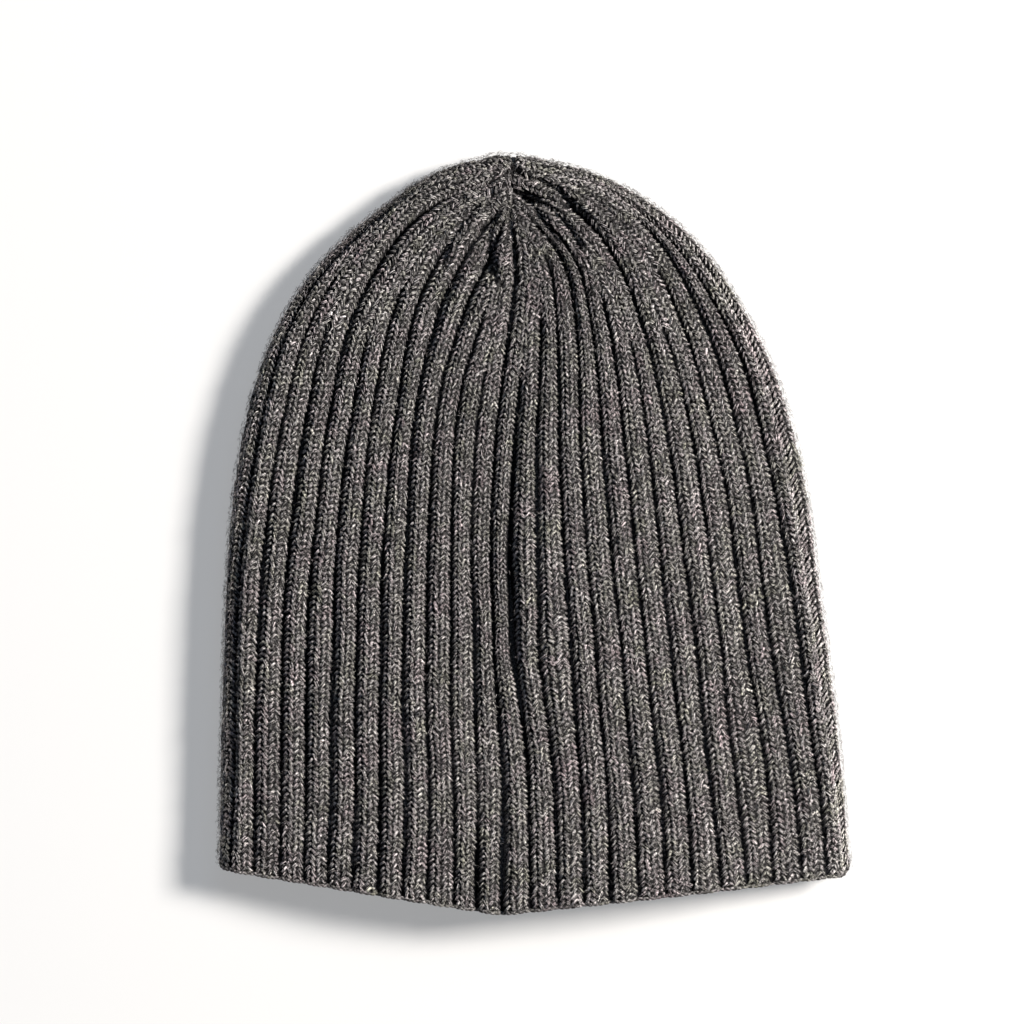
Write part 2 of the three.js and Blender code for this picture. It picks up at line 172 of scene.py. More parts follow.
# How far from the tip the grooves end, by the number of ribs after a dart, or else before the next
GROOVE_ENDS = {
    "after": [14, 70, 50, 30, 14, 14],
    "before": [14, 70, 50, 14, 30, 30],
}
KEPT_GROOVE_END = 14
GROOVE_FADE = 12

# Towards the side folds the grooves end sooner
SIDE_ENDS = Sizes(by=34, power=4)

# The grid that holds the hat's smooth outer face, at the crests of the ribs
COLUMNS_A_RIB = 12
GRID_ROWS = 240
PATH_STEPS = 160

# Hand-knit unevenness: its strength, how many times that at most, and over how many rows. Ribs swell and
# wander a little, and some grooves are deeper.
UNEVEN = {"swell": (0.22, 2, 16), "groove": (0.3, 1.5, 24), "wander": (0.045, 2, 22)}

# Stitches lie in rows from the hem to the tip and in wales, the upright columns between the grooves
ROWS = 142
WALE = 3.83
GROOVE_MARGIN = 0.5
OPEN_GROOVE = 0.2
CLEAR_GROOVE = 0.5
TIP_MERGE = 9
LEAST_OF_A_WALE = 0.3
EVEN_WALES = 0.1
THINNER_MIDDLE = 0.4
NARROWEST_WALE = 0.6
NARROWEST_GROUP = 2.6
LAST_ROW_TO_TIP = 0.8

# A leg of a stitch slants from its foot at the wale's side to its apex at the middle
LEG = Sizes(rise=2.65, bend=0.35, sunk=1.2, arch=0.8)
LEG_CHANCE = Sizes(lean=0.08, slant=0.18, rise=0.07, lift=0.07)
LEG_STEPS = (0, 0.26, 0.74, 1)
LEG_WIDTHS = (0.4, 1.25)
TAPER = np.array([[0, 1, 1, 0]])

# Near the tip the stitches are crowded and lie less evenly
CROWDED = Sizes(from_tip=45, over=30, slant=1.5)

# Where the cloth looks up, a leg is three plies of yarn. On the underside and the inside it is one lobe.
LOWEST_LOOK = -0.45

# The pieces of the back end at these ribs, counted from the seam
BACK_PARTS = [-RIBS / 2, -6, 0, 7, RIBS / 2]

# Plies: aside, sunk, radius and tone. The middle ply, which is not sunk and lies highest, is 0.1 lighter in
# tone: painted light.
PLIES = [(-0.38, 0.12, 0.21, 0.0), (0.0, 0.0, 0.24, 0.1), (0.38, 0.12, 0.21, 0.0)]
PLY_TWIST = 0.45
PLY_SIDES = 3
PLY_CHANCE = Sizes(aside=0.08, up=0.08, radius=0.12)
LOBE = Sizes(steps=(0, 0.3, 0.7, 1), radius=0.527, sides=4)
INSIDE = Sizes(rows=20, lift=0.9)

# The closed wall under the stitches. Its colours are painted shade: near black, so the gaps between the
# strands look shadowed, and darker in the grooves than at the crests.
BACKING = Sizes(depth=0.85, columns_a_rib=4, rows=70, last=0.996)
BACKING_TIP = Sizes(length=0.1, rows=14, crowding=1.2)
BACKING_HEM = Sizes(inner=0.6, outer=0.4, steps=(0.25, 0.6), bulge=0.66)
BACKING_PAINTED_SHADE = Sizes(crest=(0.022, 0.021, 0.021), groove=(0.007, 0.007, 0.008), start=0.5, over=0.3)

# The cast-on edge. Each face of the wall has two rounds of strands: where they start, and how they lean.
# The hem's strands are darkened by their tone: painted shade along the cast-on edge.
HEM_ROPE = Sizes(
    pitch=1.9, points=5, sides=6, reach=1.5, deep=0.75, below=0.35, swing=0.4, bulge=0.6,
    radius=0.5, tone=-0.9,
)
HEM_ROUNDS = [(0, 1), (0.5, -1)]
HEM_LOOK_UP = 0.02

# The joined edges inside the centre back: two ropes of lobes side by side, oversewn
SEAM_RIDGE = Sizes(height=2.4, gap=0.3, first=0.012, last=0.885)
SEAM_ROPE = Sizes(aside=1.2, radius=1.15, sides=10, even=0.9, beat=0.08, pitch=1.8)
SEAM_LOBE = Sizes(length=2.6, lean=0.5, radius=0.62, taper=(0, 0.8, 1, 0.8, 0), sides=5)
OVERSEWING = Sizes(
    pitch=3.6, radius=0.32, half_width=2.2, slant=1.1, rise=0.62, sunk=0.1, points=9, sides=6,
)

# Short loose fibres, most of them along the outline, where they show
FUZZ = Sizes(
    count=12500, more_at_outline=9, outline_look=0.7, lowest_look=-0.75, aside=0.25, root=0.6,
    height=1.4, rise=(0.1, 0.65), length=2.4, curl=0.6, curl_turns=(0.5, 2), sizes=(0.5, 1),
    radius=0.05, radii=(0.7, 1.3), points=4, sides=3,
)

# Charcoal melange: a tone is the logarithm of how light a strand is, and a hue runs from olive to warm
WOOL = Sizes(
    level=0.258, patches=0.05, specks=0.08, spread=0.31, range=(-1.4, 0.62),
    grey=(1.0, 0.95, 0.945), warm=(1.12, 0.93, 0.965), olive=(1.02, 1.0, 0.84), hue_patches=0.45,
    hue_specks=0.3, hue_spread=0.35, hue_most=1.6,
)
PALE_STRANDS = Sizes(below=0.04, by=0.3)
DARK_STRANDS = Sizes(above=0.85, by=0.45)
# Painted shade: from this row on the strands darken towards the crown's tip, by this much in tone
CROWN_PAINTED_SHADE = Sizes(from_row=98, over=35, by=0.32)
COLOUR_RANGE = (0.002, 0.8)

# Finishes: colour, scale of the fibres, their height in metres, and specular. Without a colour of its own
# a material takes the colours of the mesh.
FINISHES = {
    "wool_strands": (None, 1500, 0.0001, 0.12),
    # The backing takes its colours from the mesh, and they are painted shade
    "shade_painted_backing": (None, 1500, 0.0002, 0),
    "wool_inside": ((0.05, 0.047, 0.046), 1800, 0.0002, 0.1),
    "seam_yarn": ((0.12, 0.112, 0.108), 1800, 0.0002, 0.12),
}
FIBRES = Sizes(roughness=0.7, detail=2, noise_roughness=0.6, bump_strength=0.6)
FIBRE_SHADES = {"From Min": 0.38, "From Max": 0.62, "To Min": 0.05, "To Max": 2.1}

# The photograph's framing: millimetres a pixel, and the place under the middle of the image
PIXEL = 0.336
IMAGE = 1024
VIEW_CENTRE = (-7.39, 6.72)
VIEW_PLANE = 10
CAMERA_HEIGHT = 2400
SENSOR = 36
CLIP_END = 20

# The stage in metres: a pale floor, a soft warm key light, a weak cool fill and a dim cool sky. A light has
# its name, place, size, power and colour.
FLOOR = Sizes(half=6, colour=(0.5, 0.5, 0.5), roughness=0.9, glow=0.33)
LIGHTS = [
    ("key", (2.7, 0.8, 2.15), 0.9, 290, (1.0, 0.955, 0.9)),
    ("fill", (0.2, 0.9, 1.3), 1.0, 2.5, (0.62, 0.78, 1.0)),
]
SKY = Sizes(colour=(0.55, 0.72, 1.0), strength=0.07)


def through(table, column, along=lambda drop: drop):
    """A smooth curve through a column of a table."""
    at = np.array([along(drop) for drop in table["drop"]], float)
    value = np.array(table[column], float)
    steps = np.arange(len(at))
    before = np.maximum(steps - 1, 0)
    after = np.minimum(steps + 1, len(at) - 1)
    slope = (value[after] - value[before]) / (at[after] - at[before])

    def curve(place):
        held = np.clip(place, at[0], at[-1])
        i = np.clip(np.searchsorted(at, held, side="right") - 1, 0, len(at) - 2)
        span = at[i + 1] - at[i]
        t = (held - at[i]) / span
        ease = t * t * (3 - 2 * t)
        bend = slope[i] * t * (1 - t) ** 2 - slope[i + 1] * t * t * (1 - t)
        return value[i] + (value[i + 1] - value[i]) * ease + bend * span

    return curve


def mix(a, b, t):
    return a + (b - a) * t


def smoothstep(t):
    held = np.clip(t, 0, 1)
    return held * held * (3 - 2 * held)


def bell(t):
    return np.exp(-(t**2))


def from_seam(around):
    """Ribs from the seam, minus to its left."""
    return (around + RIBS / 2) % RIBS - RIBS / 2


def unit(vectors):
    return vectors / np.maximum(np.linalg.norm(vectors, axis=-1, keepdims=True), 1e-9)


# The outline is round at the tip, so it is smooth in the root of the drop
left_fold = through(OUTLINE, "left", math.sqrt)
right_fold = through(OUTLINE, "right", math.sqrt)
seam_at = through(SEAM_PATH, "x")
ribs_to_left = through(SIDE_RIBS, "left")
ribs_to_right = through(SIDE_RIBS, "right")
pull_left = through(SIDE_RIBS, "pull_left")
pull_right = through(SIDE_RIBS, "pull_right")
push_shifts = [through(push, "shift") for push in PUSHES]
tuck_depth = through(PUSHES[0], "depth")


def soft_field(ribs_wide, rows_high):
    """Soft random patches over the knit, of a size given in ribs and rows, as a function of both."""
    wide = round(RIBS / ribs_wide)
    high = math.ceil(ROWS / rows_high) + 2
    values = rng.standard_normal((high, wide))

    def field(around, row):
        x = (around % RIBS) / RIBS * wide
        y = np.clip(row / rows_high, 0, high - 2)
        i = np.floor(x).astype(int) % wide
        j = np.floor(y).astype(int)
        s = smoothstep(x - np.floor(x))
        t = smoothstep(y - j)
        k = (i + 1) % wide
        return mix(mix(values[j, i], values[j, k], s), mix(values[j + 1, i], values[j + 1, k], s), t)

    return field


uneven_fields = {name: soft_field(1, rows) for name, (_, _, rows) in UNEVEN.items()}
tone_patches = soft_field(0.9, 2.6)
tone_specks = soft_field(0.25, 1.0)
hue_patches = soft_field(0.8, 3.2)
hue_specks = soft_field(0.35, 1.3)


def uneven(name, around, row):
    """One kind of unevenness at places in the knit."""
    strength, most, _ = UNEVEN[name]
    return strength * np.clip(uneven_fields[name](around, row), -most, most)


def quarter_arc(radius, height):
    return math.pi / 2 * np.sqrt((radius**2 + height**2) / 2)


def in_from_fold(length, to_right):
    """How far in from a fold a place lies, seen from above, for a length of cloth from the fold."""
    left, right = FOLDS["left"], FOLDS["right"]
    radius, over = (np.where(to_right, right[name], left[name]) for name in ("radius", "over"))
    quarter = quarter_arc(radius, over)
    turn = np.minimum(length / quarter, 1) * math.pi / 2
    return np.where(length >= quarter, radius + length - quarter, radius * (1 - np.cos(turn)))


def place_of(around, drop):
    """Where a column lies at some drop: if on the back, if to the right, ribs from the seam, share."""
    left = ribs_to_left(drop)
    right = ribs_to_right(drop)
    front_ribs = RIBS - left - right
    turned = (around + left) % RIBS - left
    on_back = turned <= right
    to_right = np.where(on_back, turned >= 0, turned < right + front_ribs / 2)
    whole = np.where(on_back, np.where(to_right, right, left), front_ribs / 2)
    to_left_fold = np.where(on_back, turned + left, RIBS - left - turned)
    from_fold = np.where(to_right, np.abs(right - turned), to_left_fold)
    inwards = in_from_fold(from_fold * RIB_PITCH, to_right) / in_from_fold(whole * RIB_PITCH, to_right)
    outwards = 1 - inwards
    pull = np.where(on_back, np.where(to_right, pull_right(drop), pull_left(drop)), 0)
    share = outwards - pull * outwards * (1 - outwards)
    return on_back, to_right, turned, share


def plan_x(around, drop):
    """A column's x seen from above. It keeps its share of the width nearly all the way up to the tip."""
    on_back, to_right, turned, share = place_of(around, drop)
    root = np.sqrt(drop)
    fold = np.where(to_right, right_fold(root), -left_fold(root))
    middle = np.where(on_back, seam_at(drop), (right_fold(root) - left_fold(root)) / 2)
    spoke = TIP_SPOKES.strength * (1 - share) ** TIP_SPOKES.power
    spoke = spoke * np.exp(-drop / TIP_SPOKES.reach)
    spread = share * root / np.maximum(root + spoke, 1e-9)
    x = middle + spread * (fold - middle)
    for push, shift in zip(PUSHES, push_shifts):
        aside = (turned - push["groove"]) / push["spread"]
        x = x + np.where(on_back, shift(drop) * bell(aside), 0)
    return x


def hem_drop(around):
    on_back, to_right, turned, share = place_of(around, np.full(around.shape, float(LOWEST_DROP)))
    corner = np.where(to_right, HEM.right_corner, HEM.left_corner)
    middle = np.where(on_back, HEM.back_middle, HEM.front_middle)
    lowest_root = math.sqrt(LOWEST_DROP)
    width = np.where(to_right, right_fold(lowest_root), left_fold(lowest_root))
    inwards = np.minimum((1 - share) * width / HEM_CORNER_RADIUS, 1)
    rounding = HEM_CORNER_RADIUS * (1 - np.sqrt(1 - (1 - inwards) ** 2))
    from_groove = 2 * np.abs(turned - np.round(turned))
    return mix(middle, corner, share) - rounding - HEM_SCALLOP * (1 - from_groove) ** 2


def outline_steps():
    """The outline as short steps, each with the direction that points into the hat."""
    step = np.arange(-OUTLINE_STEPS, OUTLINE_STEPS + 1)
    root = np.abs(step) / OUTLINE_STEPS * math.sqrt(LOWEST_DROP)
    points = np.stack([np.where(step < 0, -left_fold(root), right_fold(root)), root**2], axis=1)
    before = points[np.maximum(np.arange(len(points)) - 1, 0)]
    after = points[np.minimum(np.arange(len(points)) + 1, len(points) - 1)]
    run = unit(after - before)
    return points, np.stack([-run[:, 1], run[:, 0]], axis=1)


RIM, RIM_INWARDS = outline_steps()


def nearest_rim(points):
    """The nearest place on the outline for each point: its foot, the way in, and the distance."""
    a, b = RIM[:-1], RIM[1:]
    run = b - a
    square = (run**2).sum(axis=1)
    found = []
    for start in range(0, len(points), RIM_CHUNK):
        part = points[start:start + RIM_CHUNK]
        t = np.clip(((part[:, None] - a) * run).sum(axis=2) / square, 0, 1)
        feet = a + run * t[..., None]
        far = np.linalg.norm(part[:, None] - feet, axis=2)
        best = far.argmin(axis=1)
        pick = np.arange(len(part))
        inwards = unit(mix(RIM_INWARDS[best], RIM_INWARDS[best + 1], t[pick, best][:, None]))
        found.append((feet[pick, best], inwards, far[pick, best]))
    return [np.concatenate(each) for each in zip(*found)]


def fold_size(x, name):
    left, right = FOLDS["left"], FOLDS["right"]
    return mix(left[name], right[name], np.clip((x - left["at"]) / (right["at"] - left["at"]), 0, 1))


def crest_at(x, drop, on_back):
    """The lying hat's outer face at the rib crests: points and outward normals for places in plan.

    Cloth is counted from the fold, plus on the back and minus on the front, so it can slide over the top.
    """
    foot, inwards, distance = nearest_rim(np.stack([x, drop], axis=1))
    radius = fold_size(x, "radius")
    over = fold_size(x, "over")
    under = fold_size(x, "under")
    quarter = quarter_arc(radius, over)
    turn = np.arccos(1 - np.clip(distance / radius, 0, 1)) / (math.pi / 2)
    cloth = np.where(distance < radius, turn * quarter, quarter + distance - radius)
    slide = TIP_SLIDE.length * bell(np.hypot(x, drop) / TIP_SLIDE.reach)
    signed = np.where(on_back, cloth, -cloth) + slide
    angle = np.minimum(np.abs(signed) / quarter, 1) * math.pi / 2
    beyond = np.maximum(np.abs(signed) - quarter, 0)
    inside = radius * (1 - np.cos(angle)) + beyond
    height = np.where(signed >= 0, over, under)
    flat = np.hypot(height * np.cos(angle), radius * np.sin(angle))
    outwards = height * np.cos(angle) / flat
    way = np.where(signed >= 0, 1, -1)
    upwards = way * radius * np.sin(angle) / flat
    moved = slide > TIP_SLIDE.least
    new_x = np.where(moved, foot[:, 0] + inwards[:, 0] * inside, x)
    new_drop = np.where(moved, foot[:, 1] + inwards[:, 1] * inside, drop)
    above = signed > 0
    loft = np.where(above, (LOFT_HEIGHT - under - over) * smoothstep(inside / LOFT_REACH), 0)
    aside = (new_x - seam_at(new_drop)) / SEAM_VALLEY.width
    dip = SEAM_VALLEY.depth * bell(aside) * smoothstep(inside / SEAM_VALLEY.reach)
    z = under + way * height * np.sin(angle) + loft - np.where(above, dip, 0)
    points = np.stack([new_x, -new_drop, z], axis=1)
    normals = np.stack([-inwards[:, 0] * outwards, inwards[:, 1] * outwards, upwards], axis=1)
    return points, normals


class Wall:
    """The smooth outer face as a grid: rows run from the hem to the tip, columns once around the hat."""

    def __init__(self):
        self.columns = RIBS * COLUMNS_A_RIB
        around = np.arange(self.columns) / COLUMNS_A_RIB
        steps = np.arange(PATH_STEPS + 1) / PATH_STEPS
        drop = (np.sqrt(hem_drop(around)) * (1 - steps[:, None])) ** 2
        wide = np.broadcast_to(around, drop.shape)
        x = plan_x(wide, drop)
        on_back, _, _, share = place_of(wide, drop)
        step_length = np.hypot(np.diff(x, axis=0), np.diff(drop, axis=0))
        length = np.vstack([np.zeros(self.columns), np.cumsum(step_length, axis=0)])
        self.length = length[-1]
        rows = np.arange(GRID_ROWS + 1) / GRID_ROWS
        shape = (GRID_ROWS + 1, self.columns)
        along_paths = (x, drop, on_back.astype(float), share)
        grids = np.empty((len(along_paths), *shape))
        for column in range(self.columns):
            wanted = rows * self.length[column]
            for grid, values in zip(grids, along_paths):
                grid[:, column] = np.interp(wanted, length[:, column], values[:, column])
        at_x, self.drop, back, sides = grids
        self.to_tip = (1 - rows[:, None]) * self.length
        self.sooner = SIDE_ENDS.by * sides ** SIDE_ENDS.power
        points, normals = crest_at(at_x.ravel(), self.drop.ravel(), back.ravel() > 0.5)
        self.points = points.reshape(shape + (3,))
        self.normals = normals.reshape(shape + (3,))
        quarter = COLUMNS_A_RIB // 4
        ahead = np.roll(self.points, -quarter, axis=1)
        behind = np.roll(self.points, quarter, axis=1)
        self.rib_width = np.linalg.norm(ahead - behind, axis=2) * 2
        self.strength = np.stack([self.groove_strength(groove) for groove in range(RIBS)], axis=1)

    def groove_strength(self, groove):
        """How strongly a groove shows, by the cloth left between it and the tip."""
        column = groove * COLUMNS_A_RIB
        past = self.to_tip[:, column] - self.sooner[:, column] - groove_end(groove)
        return smoothstep(past / GROOVE_FADE)

    def sample(self, grid, around, share):
        """A grid's values at places between its points."""
        column = (around * COLUMNS_A_RIB) % self.columns
        row = np.clip(share * GRID_ROWS, 0, GRID_ROWS - 1e-6)
        c = np.floor(column).astype(int) % self.columns
        r = np.floor(row).astype(int)
        s = column - np.floor(column)
        t = row - r
        if grid.ndim == 3:
            s, t = s[..., None], t[..., None]
        d = (c + 1) % self.columns
        low = grid[r, c] * (1 - s) + grid[r, d] * s
        high = grid[r + 1, c] * (1 - s) + grid[r + 1, d] * s
        return low * (1 - t) + high * t

    def at_groove(self, around, share):
        """The strength of the groove nearest to each place."""
        groove = np.round(around).astype(int) % RIBS
        row = np.clip(share * GRID_ROWS, 0, GRID_ROWS - 1e-6)
        r = np.floor(row).astype(int)
        return mix(self.strength[r, groove], self.strength[r + 1, groove], row - r)

    def column_length(self, around):
        return np.interp(around % RIBS, np.arange(self.columns + 1) / COLUMNS_A_RIB,
                         np.append(self.length, self.length[0]))

    def tuck(self, around, share):
        """How much deeper the cloth lies at the tuck beside the seam."""
        aside = from_seam(around) - PUSHES[0]["groove"]
        spread = np.where(aside > 0, TUCK.right, TUCK.left)
        drop = self.sample(self.drop, around, share)
        depth = tuck_depth(drop) * bell(aside / spread)
        for groove, deeper, from_drop, over, width in HEM_GROOVES:
            away = from_seam(around - groove)
            depth = depth + deeper * smoothstep((drop - from_drop) / over) * bell(away / width)
        return depth

    def outer_depth(self, around, share):
        """How deep the outer face lies under the smooth one, with its round ribs and the grooves."""
        aside = 2 * np.abs(around - np.floor(around) - 0.5)
        above_hem = share * self.column_length(around)
        band = mix(HEM_BAND.left, 1, smoothstep((above_hem - HEM_BAND.flat) / HEM_BAND.reach))
        row = share * ROWS
        groove = RIB_DEPTH * self.at_groove(around, share) * aside**RIB_ROUNDING * band
        groove = groove * (1 + uneven("groove", np.round(around), row))
        swell = uneven("swell", around, row)
        return groove + swell + self.tuck(around, share) + self.carved(around, share)

    def carved(self, around, share):
        """The valleys, creases and tongue of the crown, as depth under the smooth face."""
        at = self.sample(self.points, around, share)
        looks = self.sample(self.normals, around, share)[..., 2]
        on_top = smoothstep((looks - ON_TOP.above) / ON_TOP.over)
        creases = sum(crease_depth(crease, at[..., 0], -at[..., 1]) for crease in CREASES.values())
        return self.valley(around, share) + on_top * (creases - tongue_rise(at[..., 0], -at[..., 1]))

    def valley(self, around, share):
        """The soft valleys along the grooves that reach the tip, as depth."""
        turned = around[..., None] - np.array(KEPT_GROOVES)
        ribs = np.abs(from_seam(turned)).min(axis=-1)
        aside = ribs * self.sample(self.rib_width, around, share) / VALLEYS.width
        to_tip = self.sample(self.to_tip, around, share)
        window = smoothstep((VALLEYS.from_tip - to_tip) / VALLEYS.over)
        window = window * smoothstep((to_tip - VALLEYS.near_tip) / VALLEYS.fade)
        return VALLEYS.depth * window * bell(aside)

    def inner_depth(self, around, share):
        """How deep the inner face lies: its ribs lie behind the grooves, and it is plain near the hem."""
        to_tip = self.sample(self.to_tip, around, share)
        past = to_tip - self.sample(self.sooner, around, share) - INNER_FADE.end
        hollow = INNER_RIB_DEPTH * smoothstep(past / INNER_FADE.length)
        wall = mix(TIP_WALL, WALL, smoothstep(to_tip / WALL_FADE))
        crest = np.sin(math.pi * (around - np.floor(around))) ** 2
        folded = smoothstep(share * self.column_length(around) / INNER_FLAT_HEM)
        return wall - hollow * crest + self.tuck(around, share) * folded + self.carved(around, share)

    def point(self, around, share, depth):
        """Points some depth under the smooth face, and the normals there."""
        place = around + uneven("wander", around, share * ROWS)
        normal = unit(self.sample(self.normals, place, share))
        return self.sample(self.points, place, share) - normal * depth[..., None], normal


def groove_end(groove):
    """How far from the tip a groove ends."""
    following = next(i for i, dart in enumerate(DARTS) if dart > groove)
    after = groove - DARTS[following - 1]
    before = DARTS[following] - groove
    if after < len(GROOVE_ENDS["after"]):
        return GROOVE_ENDS["after"][after]
    return GROOVE_ENDS["before"][before]


def crease_depth(crease, x, drop):
    """How deep a crease is at places seen from above."""
    depth, width, line = crease
    line = np.array(line, float)
    nearest = np.full(x.shape, np.inf)
    for a, b in zip(line, line[1:]):
        run = b - a
        t = np.clip(((x - a[0]) * run[0] + (drop - a[1]) * run[1]) / (run**2).sum(), 0, 1)
        nearest = np.minimum(nearest, np.hypot(x - a[0] - run[0] * t, drop - a[1] - run[1] * t))
    return depth * bell(nearest / width)


def tongue_rise(x, drop):
    """The tongue of cloth that hangs from the tip beside the seam."""
    near_end = smoothstep((drop - TONGUE.end + 2 * TONGUE.fade) / TONGUE.fade)
    narrow = mix(1, TONGUE.narrowest, near_end)
    across = np.exp(-((x - TONGUE.middle) / (TONGUE.half_width * narrow)) ** 4)
    start = smoothstep((drop - TONGUE.start) / TONGUE.fade)
    end = smoothstep((TONGUE.end - drop) / TONGUE.fade)
    return TONGUE.rise * across * start * end


KEPT_GROOVES = [groove for groove in range(RIBS) if groove_end(groove) == KEPT_GROOVE_END]
wall = Wall()
low_corner = wall.points.min(axis=(0, 1))
high_corner = wall.points.max(axis=(0, 1))
CENTRE = np.array([*(low_corner + high_corner)[:2] / 2, low_corner[2]])


def to_frame(points):
    """Points in metres in the frame, where what would reach below the table is pressed flat on it."""
    placed = (points - CENTRE) * MM
    placed[:, 2] = np.maximum(placed[:, 2], 0)
    return placed


def add_object(name, data):
    item = bpy.data.objects.new(name, data)
    scene.collection.objects.link(item)
    return item


def new_object(name, vertices, faces, material, colours=None):
    """A smooth-shaded mesh object from arrays, with a colour for each of its points."""
    mesh = bpy.data.meshes.new(name)
    mesh.from_pydata(to_frame(vertices), [], faces)
    mesh.shade_smooth()
    if colours is not None:
        layer = mesh.color_attributes.new("wool", "FLOAT_COLOR", "POINT")
        layer.data.foreach_set("color", np.column_stack([colours, np.ones(len(colours))]).ravel())
    mesh.materials.append(material)
    return add_object(name, mesh)


def tubes(centres, radii, normals, sides):
    """Thin tubes that taper to a point at both ends: vertices, triangles, and the tube of each vertex."""
    count, steps = centres.shape[:2]
    along = unit(np.gradient(centres, axis=1))
    aside = unit(np.cross(along, normals))
    up = np.cross(aside, along)
    turn = 2 * math.pi * (np.arange(sides) + 0.5) / sides
    ring = aside[:, 1:-1, None] * np.cos(turn)[:, None] + up[:, 1:-1, None] * np.sin(turn)[:, None]
    rings = centres[:, 1:-1, None] + ring * radii[:, 1:-1, None, None]
    vertices = np.concatenate([centres[:, :1], rings.reshape(count, -1, 3), centres[:, -1:]], axis=1)
    each = vertices.shape[1]
    last = each - 1
    ring_count = steps - 2
    faces = []
    for side in range(sides):
        after = (side + 1) % sides
        faces.append([0, 1 + after, 1 + side])
        for row in range(ring_count - 1):
            a = 1 + row * sides
            faces.append([a + side, a + after, a + sides + side])
            faces.append([a + after, a + sides + after, a + sides + side])
        end = 1 + (ring_count - 1) * sides
        faces.append([last, end + side, end + after])
    offset = np.arange(count)[:, None, None] * each
    triangles = (np.array(faces)[None] + offset).reshape(-1, 3)
    return vertices.reshape(-1, 3), triangles, np.repeat(np.arange(count), each)


def wale_rows():
    """Every stitch: its middle and sides as columns, its wale's width, its row and share of the way up.

    Between two grooves the wales keep their width and are counted from both, so one in the middle gives way
    first where the knit narrows.
    """
    columns = np.arange(wall.columns + 1) / COLUMNS_A_RIB
    found = []
    for row in range(ROWS):
        at = (row + 0.5) / ROWS
        line = wall.sample(wall.points, columns, np.full(len(columns), at))
        run = np.concatenate([[0], np.cumsum(np.linalg.norm(np.diff(line, axis=0), axis=1))])
        to_tip = wall.sample(wall.to_tip, np.zeros(1), np.full(1, at))[0]
        if to_tip < LAST_ROW_TO_TIP:
            break
        grooves = np.arange(RIBS)
        strength = wall.at_groove(grooves, np.full(RIBS, at))
        margins = GROOVE_MARGIN * strength + OPEN_GROOVE * wall.tuck(grooves, np.full(RIBS, at))
        bounds = [0]
        for groove in grooves[1:]:
            room = run[groove * COLUMNS_A_RIB] - run[bounds[-1] * COLUMNS_A_RIB]
            apart = keeps_wales_apart(groove, strength[groove], to_tip)
            if apart and (room > NARROWEST_GROUP or groove in DARTS):
                bounds.append(groove)
        for start, end in zip(bounds, bounds[1:] + [RIBS]):
            first = run[start * COLUMNS_A_RIB] + margins[start]
            last = run[end * COLUMNS_A_RIB] - margins[end % RIBS]
            count = max(math.ceil((last - first) / WALE - LEAST_OF_A_WALE), 1)
            if end - start == 1 and to_tip > 2 * TIP_MERGE:
                count = 2
            if (last - first) / count < NARROWEST_WALE:
                continue
            edges = np.array(wale_edges(first, last, count))
            found.append({
                "around": np.interp((edges[:-1] + edges[1:]) / 2, run, columns),
                "left": np.interp(edges[:-1], run, columns),
                "right": np.interp(edges[1:], run, columns),
                "width": np.diff(edges),
                "share": np.full(count, at),
                "row": np.full(count, row),
            })
    return {name: np.concatenate([each[name] for each in found]) for name in found[0]}


def keeps_wales_apart(groove, strength, to_tip):
    kept = groove_end(groove) == KEPT_GROOVE_END and to_tip > TIP_MERGE
    return kept or strength > CLEAR_GROOVE or groove in DARTS


def wale_edges(first, last, count):
    """Edges of the wales between two grooves: full width from both sides, the rest for the middle one."""
    wide = last - first
    if count <= 2 or abs(wide / count - WALE) < EVEN_WALES:
        return np.linspace(first, last, count + 1)
    left = count // 2
    right = count - left - 1
    pitch = min(WALE, wide / (count - THINNER_MIDDLE))
    return [first + pitch * i for i in range(left + 1)] + [last - pitch * i for i in range(right, -1, -1)]


def inside_rows():
    """The stitches inside the hem: two wales a rib, and the ribs inside lie behind the grooves outside."""
    middles = (np.arange(2 * RIBS) + 0.5) / 2
    around = np.tile(middles, INSIDE.rows)
    row = np.repeat(np.arange(INSIDE.rows), len(middles))
    return {
        "around": around,
        "left": around - 0.25,
        "right": around + 0.25,
        "width": np.full(len(around), RIB_PITCH / 2),
        "share": (row + 0.5) / ROWS,
        "row": row,
    }


def legs_of(stitches, steps, inside=False):
    """The two slanting legs of each stitch as centre lines, with normals and how wide each leg is."""
    around, share = stitches["around"], stitches["share"]
    one_each = (len(around), 1)
    t = np.array(steps)[None]
    to_tip = wall.sample(wall.to_tip, around, share)
    crowded = smoothstep((CROWDED.from_tip - to_tip) / CROWDED.over)[:, None]
    lean = rng.normal(0, LEG_CHANCE.lean, one_each) * (1 + crowded)
    slant = rng.normal(0, LEG_CHANCE.slant, one_each) * (1 + CROWDED.slant * crowded)
    tall = LEG.rise * (1 + rng.normal(0, LEG_CHANCE.rise, one_each))
    lift = rng.normal(0, LEG_CHANCE.lift, one_each) * (1 + crowded)
    lengths = wall.column_length(around)[:, None]
    to_left = (around - stitches["left"])[:, None]
    to_right = (stitches["right"] - around)[:, None]
    climb = mix(t, np.sin(math.pi / 2 * t), LEG.bend)
    arch = LEG.sunk - LEG.arch * np.sin(math.pi * t) - lift
    legs = []
    for side in (-1, 1):
        across = side * (1 - t) + lean + slant * (t - 0.5)
        at_around = around[:, None] + across * np.where(across < 0, to_left, to_right)
        at_share = share[:, None] + tall * (climb - 0.5) / lengths
        if inside:
            depth = wall.inner_depth(at_around, at_share) + INSIDE.lift - arch
        else:
            depth = wall.outer_depth(at_around, at_share) + arch
        legs.append(wall.point(at_around, at_share, depth))
    centres, normals = (np.concatenate(each) for each in zip(*legs))
    widths = np.clip(np.tile(stitches["width"], 2) / WALE, *LEG_WIDTHS)[:, None]
    return centres, normals, widths


